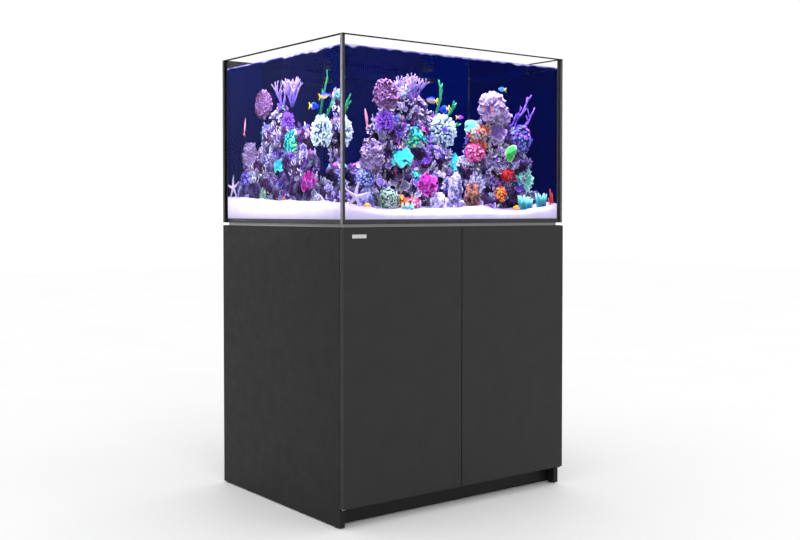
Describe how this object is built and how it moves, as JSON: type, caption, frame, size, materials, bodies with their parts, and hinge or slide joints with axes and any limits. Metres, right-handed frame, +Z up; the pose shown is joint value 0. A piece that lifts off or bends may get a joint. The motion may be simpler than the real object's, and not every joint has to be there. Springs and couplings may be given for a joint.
{
  "type": "aquarium on stand",
  "caption": "Rimless glass reef aquarium with overflow, sand, rock and corals, on a two-door charcoal cabinet that holds its plumbing, sump and top-up reservoir.",
  "frame": {"origin": "centre of the footprint on the floor", "axes": "+Z up, the doors and the front pane face -Y, +X to the right seen from the front"},
  "size_m": [0.9, 0.73, 1.445],
  "materials": {
    "charcoal_board": "satin charcoal lacquer on board, light texture",
    "spacer_grey": "satin anodised plate",
    "clear_glass": "clear, polished edges",
    "black_glass": "black film behind the glass",
    "silicone": "satin black silicone",
    "black_plastic": "fine moulded black",
    "deep_blue_plastic": "satin dark blue acrylic",
    "pipe_grey": "satin dark grey pipe",
    "steel": "brushed",
    "badge_metal": "satin chrome",
    "nylon": "natural nylon",
    "valve_red": "gloss moulded",
    "acrylic_clear": "clear acrylic",
    "smoke_acrylic": "smoked acrylic",
    "white_felt": "felted polyester",
    "reservoir_plastic": "translucent moulded plastic",
    "coral_sand": "fine white sand",
    "live_rock": "porous rock with coralline crust",
    "coral_lavender": "matt stony skeleton",
    "coral_teal": "soft velvety tissue",
    "coral_mint": "fleshy tissue with short polyps"
  },
  "bodies": {
    "aquarium": {"side_panel_left": "charcoal_board", "side_panel_right": "charcoal_board", "base_panel": "charcoal_board", "top_panel": "charcoal_board", "rear_panel": "charcoal_board", "partition_panel": "charcoal_board", "plinth_board": "charcoal_board", "glides": "black_plastic", "pivot_brackets_top": "steel", "pivot_brackets_bottom": "steel", "bracket_screws": "steel", "door_bumpers": "nylon", "latch_housings": "black_plastic", "cable_grommet": "black_plastic", "tank_base_plate": "spacer_grey", "bottom_glass": "clear_glass", "front_glass": "clear_glass", "rear_glass": "black_glass", "left_glass": "clear_glass", "right_glass": "clear_glass", "silicone_seams": "silicone", "overflow_box": "deep_blue_plastic", "bulkhead_fittings": "pipe_grey", "bulkhead_nuts": "pipe_grey", "drain_standpipe": "pipe_grey", "emergency_standpipe": "pipe_grey", "return_standpipe": "pipe_grey", "drain_pipe": "pipe_grey", "gate_valve_body": "pipe_grey", "emergency_pipe": "pipe_grey", "return_hose": "black_plastic", "sump_tank": "acrylic_clear", "sump_baffles": "acrylic_clear", "skimmer_body": "smoke_acrylic", "return_pump": "black_plastic", "topup_reservoir": "reservoir_plastic", "sand_bed": "coral_sand", "rock_left": "live_rock", "rock_centre": "live_rock", "rock_right": "live_rock", "branching_corals": "coral_lavender", "soft_corals": "coral_teal", "round_corals": "coral_mint"},
    "door_left": {"door_left": "charcoal_board", "door_badge": "badge_metal", "door_bushes_left": "nylon", "strike_plate_left": "steel"},
    "door_right": {"door_right": "charcoal_board", "door_bushes_right": "nylon", "strike_plate_right": "steel"},
    "latch_left": {"latch_plunger_left": "nylon"},
    "latch_right": {"latch_plunger_right": "nylon"},
    "comb": {"weir_comb": "deep_blue_plastic"},
    "lid": {"overflow_lid": "black_plastic"},
    "nozzle": {"return_nozzle": "black_plastic"},
    "valve_wheel": {"gate_valve_wheel": "valve_red"},
    "collection_cup": {"skimmer_cup": "smoke_acrylic"},
    "sock": {"filter_sock": "white_felt"},
    "reservoir_cover": {"reservoir_lid": "black_plastic"}
  },
  "joints": [
    {"name": "door_left_hinge", "type": "hinge", "parent": "aquarium", "child": "door_left", "pos_m": [-0.444, -0.356, 0.47], "axis": [0, 0, -1], "range_deg": [0, 105]},
    {"name": "door_right_hinge", "type": "hinge", "parent": "aquarium", "child": "door_right", "pos_m": [0.444, -0.356, 0.47], "axis": [0, 0, 1], "range_deg": [0, 105]},
    {"name": "latch_left_press", "type": "slide", "parent": "aquarium", "child": "latch_left", "axis": [0, 1, 0], "range_m": [0, 0.004], "stiffness_N_per_m": 300},
    {"name": "latch_right_press", "type": "slide", "parent": "aquarium", "child": "latch_right", "axis": [0, 1, 0], "range_m": [0, 0.004], "stiffness_N_per_m": 300},
    {"name": "comb_lift", "type": "slide", "parent": "aquarium", "child": "comb", "axis": [0, 0, 1], "range_m": [0, 0.055]},
    {"name": "overflow_lid_lift", "type": "slide", "parent": "aquarium", "child": "lid", "axis": [0, 0, 1], "range_m": [0, 0.1]},
    {"name": "nozzle_swivel", "type": "hinge", "parent": "aquarium", "child": "nozzle", "pos_m": [0.184, 0.3, 1.39], "axis": [1, 0, 0], "range_deg": [-35, 35]},
    {"name": "valve_wheel_turn", "type": "hinge", "parent": "aquarium", "child": "valve_wheel", "pos_m": [-0.11, 0.23, 0.76], "axis": [0, -1, 0], "continuous": true},
    {"name": "cup_lift", "type": "slide", "parent": "aquarium", "child": "collection_cup", "axis": [0, 0, 1], "range_m": [0, 0.12]},
    {"name": "sock_lift", "type": "slide", "parent": "aquarium", "child": "sock", "axis": [0, 0, 1], "range_m": [0, 0.23]},
    {"name": "reservoir_lid_lift", "type": "slide", "parent": "aquarium", "child": "reservoir_cover", "axis": [0, 0, 1], "range_m": [0, 0.12]}
  ]
}
